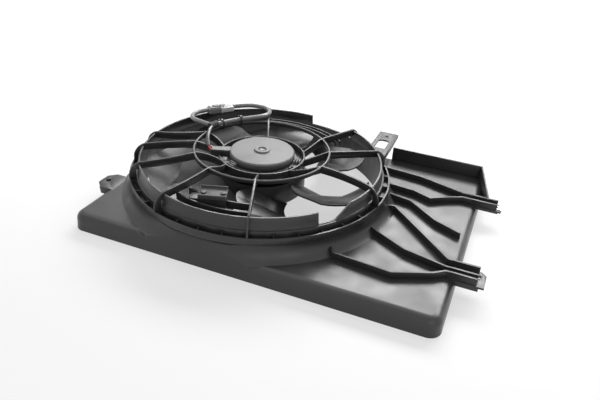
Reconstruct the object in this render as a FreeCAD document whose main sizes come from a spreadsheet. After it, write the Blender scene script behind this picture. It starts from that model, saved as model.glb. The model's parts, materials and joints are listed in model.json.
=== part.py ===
import FreeCAD, Part
import math
import operator
import os
import types
import Sketcher

# Radiator fan shroud: a moulded tray with a fan tunnel, nine stator arms that carry a motor, and the fan.
# Lengths are in millimetres. +Z points from the radiator towards the engine, the tray's length is along X.
# The origin is the centre of the whole part's footprint, on the face that the tray's rim rests on.

os.makedirs("parts", exist_ok=True)
doc = FreeCAD.newDocument("radiator_fan_shroud")
vector = FreeCAD.Vector
up = vector(0, 0, 1)

driving = {
    # tray
    "trayLength": 560,
    "trayWall": 2.5,
    "plateHeight": 27,
    "trayCorner": 18,
    "trayEdge": 12,
    "trayDraft": 3,
    "frontMargin": 1.5,
    "sideMargin": 4.5,
    "skirtSpread": 15.5,
    "skirtCurve": 24,
    "ribHeight": 10,
    "ribWidth": 3,
    "rearWallHeight": 50.5,
    "rearWallStart": 172,
    "rearWallEnd": 11,
    "rearWallThickness": 3,
    # tabs and bracket
    "tabReach": 37,
    "tabThickness": 3,
    "frontTabSkirt": 5,
    "rearTabSkirt": 2,
    "leftReach": 24,
    "leftTabWidth": 46,
    "leftTabPlace": 108,
    "leftTabHole": 4.25,
    "frontTabPlace": 114,
    "frontTabWidth": 36,
    "rearTabPlace": 323,
    "rearTabWidth": 22,
    "clipLength": 16,
    "clipSheet": 1.2,
    "clipHole": 3.1,
    "bracketReach": 54,
    "bracketOffset": 148,
    "bracketWidth": 36,
    "bracketHeight": 49.5,
    "bracketSlotWidth": 20,
    "bracketSlotLength": 38,
    "bracketHole": 3,
    "bracketHoleInset": 18,
    "bracketFlange": 8,
    # fan tunnel
    "shelfRadius": 200,
    "shelfHeight": 66,
    "shelfLedge": 2.2,
    "channelWidth": 10.5,
    "rimHeight": 60.5,
    "lipLean": 5,
    "lipHeight": 84.5,
    "channelFloor": 52,
    "tunnelBottom": 14,
    "channelRibCount": 36,
    "channelRibWidth": 1.8,
    "channelRibDrop": 0.8,
    "notchAngle": 8,
    "notchStart": -41,
    "notchRamp": 9,
    "farNotchStart": 60,
    "farNotchAngle": 26,
    # stator
    "armWidth": 2.8,
    "armDepth": 12,
    "armRingHeight": 87.5,
    "wireRadius": 109,
    "wireWidth": 4,
    "wireDepth": 6,
    "wireHeight": 96,
    "mountRadius": 70,
    "mountHeight": 85,
    "mountFlange": 70,
    "mountBore": 55,
    "mountBossHeight": 5,
    "lugRadius": 62,
    "lugAngle": -129,
    # motor
    "caseRadius": 50,
    "caseSheet": 2,
    "caseBottom": 34,
    "caseFlangeRadius": 57,
    "capRadius": 52.4,
    "capBottom": 82,
    "capHeight": 91.5,
    "capBoss": 13,
    "capBossRise": 2.5,
    "shaftRadius": 4,
    "shaftClearance": 0.05,
    "bearingRadius": 11,
    "bearingLength": 7,
    "magnetThickness": 7,
    "magnetBottom": 45,
    "magnetLength": 30,
    "airGap": 1,
    "coreLength": 24,
    "coreSlots": 12,
    "commutatorRadius": 12,
    "commutatorLength": 6.5,
    "brushWidth": 6,
    "brushLength": 14,
    "screwRadius": 2.5,
    "screwLength": 10,
    "noseAngle": -157,
    "noseLength": 30,
    "noseWidth": 16,
    "noseHeight": 11,
    "leadRadius": 1.6,
    # fan
    "tipClearance": 7.5,
    "bladeCount": 7,
    "bladeTurn": 0,
    "bladeThickness": 2.4,
    "bladeMiddle": 42,
    "hubRadius": 72,
    "hubBottom": 24,
    "hubTop": 62,
    "hubWall": 3,
    "hubBossRadius": 12,
    "hubBossBottom": 17,
    "hubRibCount": 14,
    "nutWidth": 13,
    "nutHeight": 6,
    "washerRadius": 9,
    "washerHeight": 1.5,
    # fan control module
    "moduleRadius": 135,
    "moduleShift": 58,
    "moduleAngle": -70,
    "moduleLength": 41,
    "moduleWidth": 27,
    "moduleFloor": 69,
    "moduleDepth": 12,
    "plateThickness": 3,
    "plateFlange": 4,
    "cradleInner": 147,
    "cradleOuter": 170,
    "spareInner": 138,
    "spareOuter": 147,
    # wiring
    "plugSetback": 7,
    "plugAngle": 140,
    "plugLength": 23,
    "plugWidth": 16,
    "plugDepth": 12,
    "socketLength": 25,
    "loomRadius": 4,
    "wrapRadius": 6,
    "wrapLength": 18,
    "wrapAngle": 165,
    "tieWidth": 4,
    "tieThickness": 1.2,
}

sheet = doc.addObject("Spreadsheet::Sheet", "Sizes")
for row, (alias, number) in enumerate(driving.items(), 1):
    sheet.set(f"A{row}", alias)
    sheet.set(f"B{row}", str(number))
    sheet.setAlias(f"B{row}", alias)
doc.recompute()


class Size:
    """A number that also knows its expression, so that what is made from it stays bound to the sheet."""

    def __init__(self, value, text):
        self.value = float(value)
        self.text = text

    def __add__(self, other):
        return joined(self, "+", other)

    def __radd__(self, other):
        return joined(other, "+", self)

    def __sub__(self, other):
        return joined(self, "-", other)

    def __rsub__(self, other):
        return joined(other, "-", self)

    def __mul__(self, other):
        return joined(self, "*", other)

    def __rmul__(self, other):
        return joined(other, "*", self)

    def __truediv__(self, other):
        return joined(self, "/", other)

    def __neg__(self):
        return joined(0, "-", self)


signs = {"+": operator.add, "-": operator.sub, "*": operator.mul, "/": operator.truediv}


def asSize(number):
    return number if isinstance(number, Size) else Size(number, f"{float(number):g}")


def joined(left, sign, right):
    left, right = asSize(left), asSize(right)
    return Size(signs[sign](left.value, right.value), f"({left.text} {sign} {right.text})")


def number(size):
    return asSize(size).value


s = types.SimpleNamespace(**{alias: Size(sheet.get(alias), "Sizes." + alias) for alias in driving})

# sizes and places that follow
s.rimRadius = s.shelfRadius + s.channelWidth
s.lipRadius = s.shelfRadius - s.lipLean
s.skirtFoot = s.rimRadius + s.skirtSpread
s.fanRadius = s.shelfRadius - s.trayWall - s.tipClearance
s.plugRadius = s.lipRadius - s.plugSetback
s.trayDepth = 2 * (s.rimRadius + s.frontMargin)
s.fanInset = s.rimRadius + s.sideMargin
trayLeft = s.leftReach - (s.trayLength + s.tabReach + s.leftReach) / 2
trayRight = trayLeft + s.trayLength
trayFront = -(s.trayDepth + s.bracketReach) / 2
trayBack = trayFront + s.trayDepth
fanX = trayLeft + s.fanInset
fanY = trayFront + s.trayDepth / 2
ringWall = s.trayWall
skirtTop = s.channelFloor - s.trayWall
tunnelRadius = s.shelfRadius - ringWall
armBottomAtWire = s.wireHeight - s.armDepth
flangeTop = s.mountFlange + ringWall
bossTop = flangeTop + s.mountBossHeight
caseFlangeTop = bossTop + s.caseSheet
caseInside = s.caseRadius - s.caseSheet
coreRadius = caseInside - s.magnetThickness - s.airGap
running = s.shaftRadius + s.shaftClearance

nodes = {}


# ---- helpers for making document objects ----

def bind(thing, path, size):
    """Give a property its value through an expression."""
    thing.setExpression(path, asSize(size).text)


def place(thing, x=0, y=0, z=0, turn=None):
    if turn is not None:
        thing.Placement.Rotation = FreeCAD.Rotation(up, 1)
        bind(thing, "Placement.Rotation.Angle", turn)
    for axis, size in zip("xyz", (x, y, z)):
        bind(thing, f"Placement.Base.{axis}", size)


def newBody(label, atFan=False, turn=None):
    body = doc.addObject("PartDesign::Body", label)
    body.Label = label
    body.AllowCompound = True
    if atFan:
        place(body, fanX, fanY, 0, turn)
    return body


def originFeature(body, role):
    return next(feature for feature in body.Origin.OriginFeatures if feature.Role == role)


def arcCentre(start, end, radius):
    """Centre of the arc from start to end; a positive radius turns left, a negative one right."""
    chord = end - start
    half = chord.Length / 2
    height = math.sqrt(max(radius * radius - half * half, 0))
    side = vector(-chord.y, chord.x, 0).normalize()
    return (start + end) * 0.5 + side * math.copysign(height, radius)


def arcOrLine(start, end, radius):
    if radius is None:
        return Part.LineSegment(start, end)
    centre = arcCentre(start, end, radius)
    middle = (start + end) * 0.5 - centre
    middle = centre + middle.normalize() * abs(radius)
    return Part.Arc(start, middle, end)


def pinPoint(sketch, geometry, position, axis, size, name):
    """Hold one coordinate of a point at a size."""
    if not isinstance(size, Size) and size == 0:
        line = -2 if axis == "X" else -1
        sketch.addConstraint(Sketcher.Constraint("PointOnObject", geometry, position, line))
        return
    value = number(size)
    index = sketch.addConstraint(Sketcher.Constraint("Distance" + axis, -1, 1, geometry, position, value))
    sketch.renameConstraint(index, name)
    bind(sketch, "Constraints." + name, size)


def addOutline(sketch, outline):
    """A closed outline of (x, y) corners; a third entry makes the stretch after it an arc of that radius."""
    first = sketch.GeometryCount
    corners = [vector(number(corner[0]), number(corner[1]), 0) for corner in outline]
    radii = [corner[2] if len(corner) > 2 else None for corner in outline]
    count = len(corners)
    for i in range(count):
        radius = None if radii[i] is None else number(radii[i])
        sketch.addGeometry(arcOrLine(corners[i], corners[(i + 1) % count], radius), False)
    ends = []
    for i in range(count):
        turnsRight = radii[i] is not None and number(radii[i]) < 0
        ends.append((2, 1) if turnsRight else (1, 2))
    for i in range(count):
        following = (i + 1) % count
        joint = Sketcher.Constraint("Coincident", first + i, ends[i][1], first + following, ends[following][0])
        sketch.addConstraint(joint)
    for i, corner in enumerate(outline):
        pinPoint(sketch, first + i, ends[i][0], "X", corner[0], f"x{first + i}")
        pinPoint(sketch, first + i, ends[i][0], "Y", corner[1], f"y{first + i}")
        if radii[i] is not None:
            size = radii[i] if number(radii[i]) > 0 else 0 - asSize(radii[i])
            index = sketch.addConstraint(Sketcher.Constraint("Radius", first + i, number(size)))
            sketch.renameConstraint(index, f"r{first + i}")
            bind(sketch, f"Constraints.r{first + i}", size)


def addCircle(sketch, x, y, radius):
    index = sketch.addGeometry(Part.Circle(vector(number(x), number(y), 0), up, number(radius)), False)
    pinPoint(sketch, index, 3, "X", x, f"x{index}")
    pinPoint(sketch, index, 3, "Y", y, f"y{index}")
    constraint = sketch.addConstraint(Sketcher.Constraint("Radius", index, number(radius)))
    sketch.renameConstraint(constraint, f"r{index}")
    bind(sketch, f"Constraints.r{index}", radius)


def newSketch(body, role, outlines=(), circles=(), lift=0):
    sketch = body.newObject("Sketcher::SketchObject", body.Label + "_sketch")
    sketch.AttachmentSupport = (originFeature(body, role), [""])
    sketch.MapMode = "FlatFace"
    bind(sketch, "AttachmentOffset.Base.z", lift)
    for outline in outlines:
        addOutline(sketch, outline)
    for circle in circles:
        addCircle(sketch, *circle)
    return sketch


def revolved(body, outline, kind="PartDesign::Revolution", angle=360):
    sketch = newSketch(body, "XZ_Plane", [outline])
    feature = body.newObject(kind, body.Label + "_turned")
    feature.Profile = sketch
    feature.ReferenceAxis = (sketch, ["V_Axis"])
    bind(feature, "Angle", angle)
    return feature


def padded(body, length, outlines=(), circles=(), lift=0, taper=0, role="XY_Plane", symmetric=False):
    feature = body.newObject("PartDesign::Pad", body.Label + "_pad")
    feature.Profile = newSketch(body, role, outlines, circles, lift)
    bind(feature, "Length", length)
    bind(feature, "TaperAngle", taper)
    if symmetric:
        feature.SideType = "Symmetric"
    return feature


def pocketed(body, length, outlines=(), circles=(), lift=0, role="XY_Plane"):
    """Cut downwards from the sketch's plane by a length."""
    feature = body.newObject("PartDesign::Pocket", body.Label + "_pocket")
    feature.Profile = newSketch(body, role, outlines, circles, lift)
    bind(feature, "Length", length)
    return feature


def patterned(body, feature, count):
    pattern = body.newObject("PartDesign::PolarPattern", body.Label + "_pattern")
    pattern.Originals = [feature]
    pattern.Axis = (originFeature(body, "Z_Axis"), [""])
    pattern.Angle = 360
    bind(pattern, "Occurrences", count)
    body.Tip = pattern
    return pattern


def filleted(body, feature, radius, wanted):
    """Round those edges of a feature that the test wanted picks."""
    doc.recompute()
    names = [f"Edge{i}" for i, edge in enumerate(feature.Shape.Edges, 1) if wanted(edge)]
    fillet = body.newObject("PartDesign::Fillet", body.Label + "_fillet")
    fillet.Base = (feature, names)
    bind(fillet, "Radius", radius)
    doc.recompute()
    return fillet


def box(label, x, y, z, length, width, height):
    """A box from its lowest corner."""
    block = doc.addObject("Part::Box", label)
    for name, size in (("Length", length), ("Width", width), ("Height", height)):
        bind(block, name, size)
    place(block, x, y, z)
    return block


def cylinder(label, x, y, z, radius, height):
    rod = doc.addObject("Part::Cylinder", label)
    bind(rod, "Radius", radius)
    bind(rod, "Height", height)
    place(rod, x, y, z)
    return rod


def fused(label, *things):
    result = doc.addObject("Part::MultiFuse", label)
    result.Shapes = list(things)
    result.Refine = True
    return result


def shared(label, *things):
    result = doc.addObject("Part::MultiCommon", label)
    result.Shapes = list(things)
    return result


def cut(label, base, tool):
    result = doc.addObject("Part::Cut", label)
    result.Base = base
    result.Tool = tool
    return result


def coded(label, shape):
    """A feature whose shape is made in code."""
    feature = doc.addObject("Part::Feature", label)
    feature.Shape = shape
    return feature


def keep(thing, label=None):
    """Mark an object as a piece of the product."""
    if label:
        thing.Label = label
    nodes[thing.Label] = thing
    return thing


def polar(radius, angle, height=0):
    """A point about the fan's axis, from a radius and an angle in degrees."""
    turn = math.radians(number(angle))
    x = number(fanX) + number(radius) * math.cos(turn)
    y = number(fanY) + number(radius) * math.sin(turn)
    return vector(x, y, number(height))


def turned(thing, angle, radius=0, height=0):
    """Set a shape made at the origin out at a radius and angle about the fan's axis, facing outwards."""
    thing.Placement = FreeCAD.Placement(polar(radius, angle, height), FreeCAD.Rotation(up, number(angle)))
    return thing


# ---- tray ----

def trayBlock(label, inset, height, edge=None):
    """The tray's outline as a drafted block with rounded corners."""
    body = newBody(label)
    left, right = trayLeft + inset, trayRight - inset
    front, back = trayFront + inset, trayBack - inset
    outline = [(left, front), (right, front), (right, back), (left, back)]
    pad = padded(body, height, [outline], taper=-s.trayDraft)
    doc.recompute()
    rise = number(height)
    corners = filleted(body, pad, s.trayCorner - inset, lambda line: line.BoundBox.ZLength > rise / 2)
    if edge is not None:
        filleted(body, corners, edge, lambda line: line.BoundBox.ZMin > rise - 0.01)
    return body


def skirtCone(label, inset):
    """The flared skirt that lifts the plate up to the tunnel."""
    body = newBody(label, atFan=True)
    top = skirtTop - inset
    foot = s.plateHeight - inset - 0.6
    rim, end = s.rimRadius - inset, s.skirtFoot - inset * 0.4
    revolved(body, [(0, 0), (end, 0), (end, foot, -(s.skirtCurve + inset)), (rim, top), (0, top)])
    return body


def ribbon(points, width, bottom, top):
    """An upright rib of constant width along straight runs."""
    if len(points) == 2:
        face = armPiece(points[0], points[1], 0, number(width))
    else:
        face = Part.Face(Part.makePolygon(points).makeOffset2D(number(width) / 2, 2, False, False, True))
    face.translate(vector(0, 0, number(bottom)))
    return face.extrude(vector(0, 0, number(top) - number(bottom)))


def plateRibs():
    """Stiffening ribs that run from the tunnel's rim to the right-hand tabs."""
    fromRing = {
        "rear": [(16, 41), (69, 30.5)],
        "rearBranch": [(7, 25), (45, 20), (69, 15.5)],
        "middle": [(3, 16), (37, 12), (80, 2)],
        "frontSteep": [(2, 5.5), (14, 6)],
        "front": [(-4, -14), (69, -18.3), (111, -17.6)],
        "frontLow": [(3, -37.5), (17, -38.5), (91, -29.6)],
    }
    rearY = number(trayFront + s.rearTabPlace)
    frontY = number(trayFront + s.frontTabPlace)
    edge = number(trayRight)
    toTab = {
        "rear": [(-28, rearY + 7.5), (-12, rearY + 7.5)],
        "rearBranch": [(-50, rearY - 19), (-28, rearY - 7.5), (-12, rearY - 7.5)],
        "middle": [(-14, rearY - 120)],
        "frontSteep": [(-18, frontY + 14.5), (-6, frontY + 14.5)],
        "front": [(-18, frontY - 4), (-6, frontY - 4)],
        "frontLow": [(-32, frontY - 27), (-16, frontY - 14.5), (-6, frontY - 14.5)],
    }
    bottom, top = s.plateHeight - s.trayEdge, s.plateHeight + s.ribHeight
    ribs = []
    for name, ringPoints in fromRing.items():
        points = [polar(s.rimRadius + out, angle) for out, angle in ringPoints]
        points += [vector(edge + x, y, 0) for x, y in toTab[name]]
        ribs.append(ribbon(points, s.ribWidth, bottom, top))
    return coded("rib_strips", ribs[0].multiFuse(ribs[1:]))


def makeTray():
    outer = trayBlock("tray_outer", 0, s.plateHeight, s.trayEdge)
    inner = trayBlock("tray_inner", s.trayWall, s.plateHeight - s.trayWall, s.trayEdge - s.trayWall)
    tallOuter = trayBlock("tray_tall_outer", 0, skirtTop, s.trayEdge)
    tallInner = trayBlock("tray_tall_inner", s.trayWall, skirtTop - s.trayWall, s.trayEdge - s.trayWall)
    skirtOuter = shared("skirt_outer_trimmed", skirtCone("skirt_outer", 0), tallOuter)
    skirtInner = shared("skirt_inner_trimmed", skirtCone("skirt_inner", s.trayWall), tallInner)
    seat = cylinder("tunnel_seat", fanX, fanY, -1, s.shelfRadius, s.rearWallHeight + 20)
    solid = fused("tray_solid", outer, skirtOuter)
    hollow = fused("tray_hollow", inner, skirtInner, seat)
    keep(cut("shroud_panel", solid, hollow))
    ringSpace = cylinder("ring_space", fanX, fanY, 0, s.rimRadius, s.lipHeight)
    return fused("tray_outside", solid, ringSpace)


def makeRearWall(tray):
    """The upright wall along the back edge, and the brace that joins it to the rear tab."""
    start = fanX + s.rearWallStart
    end = trayRight - s.rearWallEnd
    bottom = s.plateHeight - s.trayEdge
    y = trayBack - s.trayEdge * 0.5 - s.rearWallThickness
    wall = box("back_wall", start, y, bottom, end - start, s.rearWallThickness, s.rearWallHeight - bottom)
    tab = vector(number(trayRight + s.tabReach / 3), number(trayFront + s.rearTabPlace) + 7.5, 0)
    corner = vector(number(end) - 1, number(y) + 1.5, 0)
    strip = ribbon([corner, tab], s.ribWidth, bottom, s.rearWallHeight)
    drop = number(s.rearWallHeight - s.plateHeight - s.ribHeight)
    length = (tab - corner).Length
    slope = Part.Face(Part.makePolygon([vector(0, 0, 0), vector(length + 6, 0, -drop - drop / length * 6),
                                        vector(length + 6, 0, 40), vector(0, 0, 40), vector(0, 0, 0)]))
    wedge = slope.extrude(vector(0, 40, 0))
    wedge.translate(vector(0, -20, 0))
    wedge.rotate(vector(), up, math.degrees(math.atan2(tab.y - corner.y, tab.x - corner.x)))
    wedge.translate(corner + vector(0, 0, number(s.rearWallHeight)))
    brace = coded("wall_brace", strip.cut(wedge))
    solid = fused("rear_wall_solid", wall, brace)
    return keep(cut("rear_wall", solid, tray))


# ---- tabs and bracket ----

def makeRightTab(label, middle, width, offsets, short, holeOffset, skirt, outside):
    """A tongue past the tray's right edge: a floor, upright ribs and an end lip."""
    start = trayRight - s.trayEdge
    reach = s.tabReach + s.trayEdge - short
    floorBottom = s.plateHeight - s.tabThickness
    chamfer = width / 5
    floor = newBody(label + "_floor")
    place(floor, start, middle - width / 2, 0)
    padded(floor, s.tabThickness, [[(0, 0), (reach, 0), (reach, width - chamfer), (reach - chamfer, width),
                                    (0, width)]], lift=floorBottom)
    pieces = [floor]
    for i, offset in enumerate(offsets):
        pieces.append(box(f"{label}_rib{i}", start, middle + offset - s.ribWidth / 2, floorBottom,
                          reach - chamfer - s.tabThickness, s.ribWidth, s.ribHeight + s.tabThickness))
    for i, side in enumerate((-width / 2, width / 2 - s.ribWidth)):
        pieces.append(box(f"{label}_skirt{i}", start, middle + side, floorBottom - skirt, reach - chamfer,
                          s.ribWidth, skirt + 1))
    raw = fused(label + "_raw", *pieces)
    hole = cylinder(label + "_hole", trayRight + s.tabReach - s.clipLength / 2 - s.clipSheet, middle + holeOffset, 0,
                    s.clipHole, s.rearWallHeight)
    return keep(cut(label, cut(label + "_holed", raw, hole), outside))


def makeClip():
    """A spring clip nut of folded steel sheet that is pushed onto the rear tab's end."""
    middle = trayFront + s.rearTabPlace
    width = s.rearTabWidth - 2 * s.ribWidth - 4
    end = trayRight + s.tabReach - s.clipSheet
    floorTop = s.plateHeight
    under = s.plateHeight - s.tabThickness - s.clipSheet
    body = newBody("tab_clip_nut_folded")
    place(body, end - s.clipLength, middle + width / 2, 0)
    inside, sheetTop = s.clipLength, floorTop + s.clipSheet
    outside = s.clipLength + s.clipSheet
    outline = [(0, under), (outside, under), (outside, sheetTop), (0, sheetTop), (0, floorTop),
               (inside, floorTop), (inside, under + s.clipSheet), (0, under + s.clipSheet)]
    padded(body, width, [outline], role="XZ_Plane")
    hole = cylinder("tab_clip_hole", end - s.clipLength / 2, middle, under - 1, s.clipHole, 20)
    return keep(cut("tab_clip_nut", body, hole))


def makeLeftTab(outside):
    """The two-layered tongue on the left, with a bolt hole through both layers."""
    middle = trayFront + s.leftTabPlace
    length = s.leftReach + s.trayEdge
    body = newBody("left_tab_tongue")
    place(body, trayLeft - s.leftReach, middle, 0)
    half = s.leftTabWidth / 2
    corner = s.leftTabWidth / 4
    outline = [(corner, -half), (length, -half), (length, half), (corner, half), (0, corner), (0, -corner)]
    padded(body, s.tabThickness, [outline], lift=s.plateHeight - s.tabThickness)
    lower = padded(body, s.tabThickness, [outline], lift=s.plateHeight - 4 * s.tabThickness)
    lower.Label = "left_tab_lower_layer"
    webs = []
    for i, side in enumerate((-half, 0, half - s.ribWidth)):
        start = corner if i != 1 else s.leftTabHole * 3
        webs.append(box(f"left_tab_web{i}", trayLeft - s.leftReach + start, middle + side,
                        s.plateHeight - 3.5 * s.tabThickness, length - start, s.ribWidth, s.tabThickness * 3))
    holeX = trayLeft - s.leftReach + s.leftTabHole * 2.4
    sleeve = cylinder("left_tab_sleeve", holeX, middle, s.plateHeight - 4 * s.tabThickness,
                      s.leftTabHole + s.tabThickness, 4 * s.tabThickness)
    solid = fused("left_tab_solid", body, sleeve, *webs)
    hole = cylinder("left_tab_bolt_hole", holeX, middle, 0, s.leftTabHole, s.rearWallHeight)
    return keep(cut("left_mounting_tab", cut("left_tab_holed", solid, hole), outside))


def makeBracket(outside):
    """The flat bracket that reaches out over the tray's back edge, with a slot and a locating hole."""
    middle = fanX + s.bracketOffset
    tip = trayBack + s.bracketReach
    depth = s.bracketReach + s.trayEdge * 7
    half = s.bracketWidth / 2
    chamfer = s.bracketSlotWidth / 4
    slotHalf = s.bracketSlotWidth / 2
    slotTop = -2 * s.bracketHoleInset
    slotEnd = slotTop - s.bracketSlotLength
    body = newBody("bracket_plate")
    place(body, middle, tip, 0)
    plate = [(-half, -depth), (half, -depth), (half, 0), (-half, 0)]
    slot = [(-slotHalf, slotEnd), (slotHalf, slotEnd), (slotHalf, slotTop - chamfer),
            (slotHalf - chamfer, slotTop), (chamfer - slotHalf, slotTop), (-slotHalf, slotTop - chamfer)]
    padded(body, s.tabThickness, [plate, slot], [(0, 0 - s.bracketHoleInset, s.bracketHole)],
           lift=s.bracketHeight - s.tabThickness)
    sides = newBody("bracket_sides")
    place(sides, middle - half, tip, 0)
    top = s.bracketHeight - s.tabThickness
    low = top - s.bracketFlange
    profile = [(-depth, low), (-s.bracketReach, low), (0, top - s.tabThickness), (0, top), (-depth, top)]
    padded(sides, s.ribWidth, [profile], role="YZ_Plane")
    otherSide = newBody("bracket_other_side")
    place(otherSide, middle + half - s.ribWidth, tip, 0)
    padded(otherSide, s.ribWidth, [profile], role="YZ_Plane")
    solid = fused("bracket_solid", body, sides, otherSide)
    return keep(cut("rear_bracket", solid, outside))


# ---- fan tunnel and stator ----

def makeRing():
    """The tunnel round the fan, with a stiffening channel outside and a lip that leans inwards."""
    body = newBody("ring_body", atFan=True)
    lipInside = s.lipRadius - ringWall
    outline = [
        (tunnelRadius, s.tunnelBottom), (tunnelRadius, s.shelfHeight - ringWall),
        (s.shelfRadius - s.shelfLedge - ringWall, s.shelfHeight), (lipInside, s.lipHeight),
        (s.lipRadius, s.lipHeight), (s.shelfRadius - s.shelfLedge, s.shelfHeight),
        (s.shelfRadius, s.shelfHeight), (s.shelfRadius, s.channelFloor),
        (s.rimRadius - ringWall, s.channelFloor), (s.rimRadius - ringWall, s.rimHeight),
        (s.rimRadius, s.rimHeight), (s.rimRadius, skirtTop),
        (s.shelfRadius, skirtTop), (s.shelfRadius, s.tunnelBottom),
    ]
    revolved(body, outline)
    half = s.channelRibWidth / 2
    ribTop = s.rimHeight - s.channelRibDrop
    rib = padded(body, ribTop - skirtTop - 1,
                 [[(s.shelfRadius - 1, -half), (s.rimRadius - 1, -half), (s.rimRadius - 1, half),
                   (s.shelfRadius - 1, half)]], lift=skirtTop + 1)
    doc.recompute()
    patterned(body, rib, s.channelRibCount)
    notch = newBody("ring_notch", atFan=True, turn=s.notchStart)
    inside = tunnelRadius - 2 * s.ribHeight
    high = s.lipHeight + s.trayEdge
    profile = [(inside, s.shelfHeight + 1), (s.shelfRadius - s.shelfLedge / 2, s.shelfHeight + 1),
               (s.shelfRadius - s.shelfLedge / 2, high), (inside, high)]
    revolved(notch, profile, angle=s.notchAngle)
    farNotch = newBody("far_notch", atFan=True, turn=s.farNotchStart)
    revolved(farNotch, profile, angle=s.farNotchAngle)
    ramp = newBody("notch_ramp", atFan=True, turn=s.notchStart + s.notchAngle)
    length = s.lipRadius * (math.pi / 180) * s.notchRamp
    ramp.Placement.Rotation = FreeCAD.Rotation(up, number(s.notchStart + s.notchAngle))
    wedge = ramp.newObject("PartDesign::Pad", "notch_ramp_pad")
    wedge.Profile = newSketch(ramp, "YZ_Plane", [[(-1, s.shelfHeight + 1), (0, s.shelfHeight + 1),
                                                  (length, s.lipHeight + 0.5), (length, high), (-1, high)]])
    bind(wedge, "Length", s.shelfRadius * 1.1)
    limits = newBody("ramp_limits", atFan=True)
    revolved(limits, profile)
    slope = shared("ramp_cut", ramp, limits)
    return keep(cut("fan_tunnel_ring", body, fused("notch_cuts", notch, farNotch, slope)))


def makeWireRing():
    body = newBody("wire_ring", atFan=True)
    inner, outer = s.wireRadius - s.wireWidth / 2, s.wireRadius + s.wireWidth / 2
    shoulder = s.wireHeight - s.wireWidth / 2
    bottom = s.wireHeight - s.wireDepth
    revolved(body, [(inner, bottom), (outer, bottom), (outer, shoulder, s.wireWidth / 2 + 0.001), (inner, shoulder)])
    return keep(body)


def makeMountRing():
    """The ring that the motor's flange is screwed to."""
    body = newBody("mount_ring_body", atFan=True)
    inside = s.mountRadius - ringWall
    revolved(body, [(s.mountBore, s.mountFlange), (s.mountRadius, s.mountFlange), (s.mountRadius, s.mountHeight),
                    (inside, s.mountHeight), (inside, flangeTop), (s.mountBore, flangeTop)])
    bosses = newBody("mount_bosses", atFan=True, turn=s.lugAngle)
    boss = padded(bosses, bossTop - s.mountFlange - 1, [], [(s.lugRadius, 0, s.screwRadius * 2)],
                  lift=s.mountFlange + 1)
    doc.recompute()
    patterned(bosses, boss, 3)
    holes = newBody("mount_screw_holes", atFan=True, turn=s.lugAngle)
    hole = padded(holes, s.mountHeight, [], [(s.lugRadius, 0, s.screwRadius)])
    doc.recompute()
    patterned(holes, hole, 3)
    return keep(cut("motor_mount_ring", fused("mount_ring_solid", body, bosses), holes))


def armPiece(start, end, sag, width):
    """One stretch of an arm seen from above: a strip of constant width, bowed sideways by sag."""
    along = (end - start).normalize()
    side = vector(-along.y, along.x, 0)
    if abs(sag) < 0.01:
        corners = [start + side * width / 2, end + side * width / 2, end - side * width / 2,
                   start - side * width / 2]
        return Part.Face(Part.makePolygon(corners + corners[:1]))
    middle = (start + end) * 0.5 + side * sag
    circle = Part.Circle(start, middle, end)
    loops = []
    for grow in (width / 2, -width / 2):
        scale = (circle.Radius + grow) / circle.Radius
        loops.append([circle.Center + (point - circle.Center) * scale for point in (start, middle, end)])
    outer, inner = loops
    edges = [Part.Arc(*outer).toShape(), Part.makeLine(outer[2], inner[2]),
             Part.Arc(*inner[::-1]).toShape(), Part.makeLine(inner[0], outer[0])]
    return Part.Face(Part.Wire(edges))


def armStrips():
    """Nine arms in plan: angle at the motor, at the wire ring and at the rim, and how far each part bows."""
    arms = {
        "front": (-69, -70, -70, 0, 0),
        "frontLeft": (-122, -112, -111, 5, 3),
        "left": (-128, -142, -142, -9, 4),
        "leftRear": (-168, -164, -160, 1.5, -4),
        "farLeft": (-177, 174, 184, -4, 7),
        "far": (107, 109.5, 111, 0, 0),
        "farRight": (34, 47.5, 59, 0, 0),
        "right": (8, 20.5, 32, 0, 0),
        "rightFront": (-28, -8, -9, -7, 7),
    }
    width = s.armWidth.value
    inside = s.mountRadius - ringWall
    strips = []
    for motorAngle, wireAngle, rimAngle, innerSag, outerSag in arms.values():
        motor, wire, rim = (polar(inside, motorAngle), polar(s.wireRadius, wireAngle),
                            polar(s.rimRadius + 2, rimAngle))
        faces = [armPiece(motor, wire, innerSag, width), armPiece(wire, rim, outerSag, width)]
        joint = Part.Face(Part.Wire(Part.makeCircle(width / 2, wire)))
        solids = [face.extrude(vector(0, 0, s.wireHeight.value * 1.2)) for face in faces + [joint]]
        strips.append(solids[0].multiFuse(solids[1:]).removeSplitter())
    return coded("arm_strips", Part.makeCompound(strips))


def makeArms(ring, wireRing, mountRing):
    """The arms take their height from one turned envelope and are notched for the rings they meet."""
    envelope = newBody("arm_envelope", atFan=True)
    ridge = s.wireWidth
    outside = s.shelfRadius - 0.5
    ringBottom = s.armRingHeight - s.armDepth
    revolved(envelope, [
        (s.mountRadius - 1, s.mountHeight - s.armDepth), (s.wireRadius, armBottomAtWire),
        (outside, ringBottom), (outside, s.channelFloor), (s.rimRadius, s.channelFloor),
        (s.rimRadius, s.rimHeight + 2, s.rimRadius - s.lipRadius + 9), (s.lipRadius - ringWall, s.armRingHeight),
        (s.wireRadius + ridge, s.wireHeight), (s.wireRadius - ridge, s.wireHeight),
        (s.mountRadius - 1, s.mountHeight),
    ])
    raw = shared("arms_raw", armStrips(), envelope)
    rings = fused("arm_seats", ring, wireRing, mountRing)
    rings.Refine = False
    return keep(cut("stator_arms", raw, rings))


# ---- fan ----

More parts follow.
